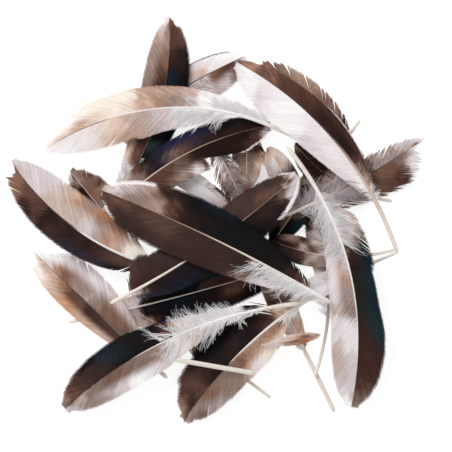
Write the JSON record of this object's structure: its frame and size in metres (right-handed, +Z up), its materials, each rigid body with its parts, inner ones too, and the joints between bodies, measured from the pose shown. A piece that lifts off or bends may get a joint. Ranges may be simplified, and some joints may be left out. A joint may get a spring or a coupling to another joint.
{
  "type": "heap of quill feathers",
  "caption": "Loose heap of uncut duck wing feathers, the quills that quill pens are cut from; each is a tapering horn shaft with a thin vane, and the top ones lift off.",
  "frame": {"origin": "centre of the heap in plan, on the surface that it lies on", "axes": "+Z up from that surface; +X to the right and +Y away, as seen from above with the longest brown feather pointing up and to the left"},
  "size_m": [0.2108, 0.205, 0.0229],
  "materials": {
    "quill_horn": "smooth translucent horn",
    "white_vane": "soft matt barbs",
    "cream_vane": "soft matt barbs",
    "tan_vane": "soft matt barbs",
    "taupe_vane": "soft satin barbs",
    "brown_vane": "satin barbs",
    "dark_vane": "satin barbs",
    "violet_vane": "satin barbs with a violet-blue sheen",
    "teal_vane": "satin barbs with a teal sheen"
  },
  "bodies": {
    "root": {"pale_hidden_shaft": "quill_horn", "pale_hidden_vane": "white_vane", "white_north_shaft": "quill_horn", "white_north_vane": "white_vane", "split_brown_shaft": "quill_horn", "split_brown_vane": "taupe_vane", "olive_small_shaft": "quill_horn", "olive_small_vane": "dark_vane", "speckled_covert_shaft": "quill_horn", "speckled_covert_vane": "taupe_vane", "cream_round_shaft": "quill_horn", "cream_round_vane": "cream_vane", "teal_short_shaft": "quill_horn", "teal_short_vane": "teal_vane", "dark_east_shaft": "quill_horn", "dark_east_vane": "dark_vane", "navy_edge_shaft": "quill_horn", "navy_edge_vane": "brown_vane", "south_quill_shaft": "quill_horn", "south_quill_vane": "brown_vane", "brown_quill_shaft": "quill_horn", "brown_quill_vane": "brown_vane", "lavender_down_shaft": "quill_horn", "lavender_down_vane": "dark_vane", "white_gray_shaft": "quill_horn", "white_gray_vane": "white_vane", "downy_brown_shaft": "quill_horn", "downy_brown_vane": "brown_vane", "taupe_north_shaft": "quill_horn", "taupe_north_vane": "taupe_vane", "folded_brown_shaft": "quill_horn", "folded_brown_vane": "brown_vane", "tan_west_shaft": "quill_horn", "tan_west_vane": "tan_vane", "gray_east_shaft": "quill_horn", "gray_east_vane": "taupe_vane", "violet_shaft": "quill_horn", "violet_vane": "violet_vane"},
    "brown_south": {"brown_south_shaft": "quill_horn", "brown_south_vane": "brown_vane"},
    "tan_covert": {"tan_covert_shaft": "quill_horn", "tan_covert_vane": "tan_vane"},
    "blue_patch": {"blue_patch_shaft": "quill_horn", "blue_patch_vane": "dark_vane"},
    "bare_quill": {"bare_quill": "quill_horn"},
    "tan_north": {"tan_north_shaft": "quill_horn", "tan_north_vane": "tan_vane"},
    "white_brown": {"white_brown_shaft": "quill_horn", "white_brown_vane": "white_vane"},
    "dark_west": {"dark_west_shaft": "quill_horn", "dark_west_vane": "dark_vane"},
    "long_teal": {"long_teal_shaft": "quill_horn", "long_teal_vane": "teal_vane"},
    "violet_teal": {"violet_teal_shaft": "quill_horn", "violet_teal_vane": "brown_vane"},
    "satin_brown": {"satin_brown_shaft": "quill_horn", "satin_brown_vane": "brown_vane"}
  },
  "joints": [
    {"name": "brown_south_lift", "type": "slide", "parent": "root", "child": "brown_south", "axis": [0, 0, 1], "range_m": [0, 0.03]},
    {"name": "tan_covert_lift", "type": "slide", "parent": "brown_south", "child": "tan_covert", "axis": [0, 0, 1], "range_m": [0, 0.03]},
    {"name": "blue_patch_lift", "type": "slide", "parent": "brown_south", "child": "blue_patch", "axis": [0, 0, 1], "range_m": [0, 0.03]},
    {"name": "bare_quill_lift", "type": "slide", "parent": "blue_patch", "child": "bare_quill", "axis": [0, 0, 1], "range_m": [0, 0.03]},
    {"name": "tan_north_lift", "type": "slide", "parent": "root", "child": "tan_north", "axis": [0, 0, 1], "range_m": [0, 0.03]},
    {"name": "white_brown_lift", "type": "slide", "parent": "tan_north", "child": "white_brown", "axis": [0, 0, 1], "range_m": [0, 0.03]},
    {"name": "dark_west_lift", "type": "slide", "parent": "root", "child": "dark_west", "axis": [0, 0, 1], "range_m": [0, 0.03]},
    {"name": "long_teal_lift", "type": "slide", "parent": "dark_west", "child": "long_teal", "axis": [0, 0, 1], "range_m": [0, 0.03]},
    {"name": "violet_teal_lift", "type": "slide", "parent": "long_teal", "child": "violet_teal", "axis": [0, 0, 1], "range_m": [0, 0.03]},
    {"name": "satin_brown_lift", "type": "slide", "parent": "violet_teal", "child": "satin_brown", "axis": [0, 0, 1], "range_m": [0, 0.03]}
  ]
}
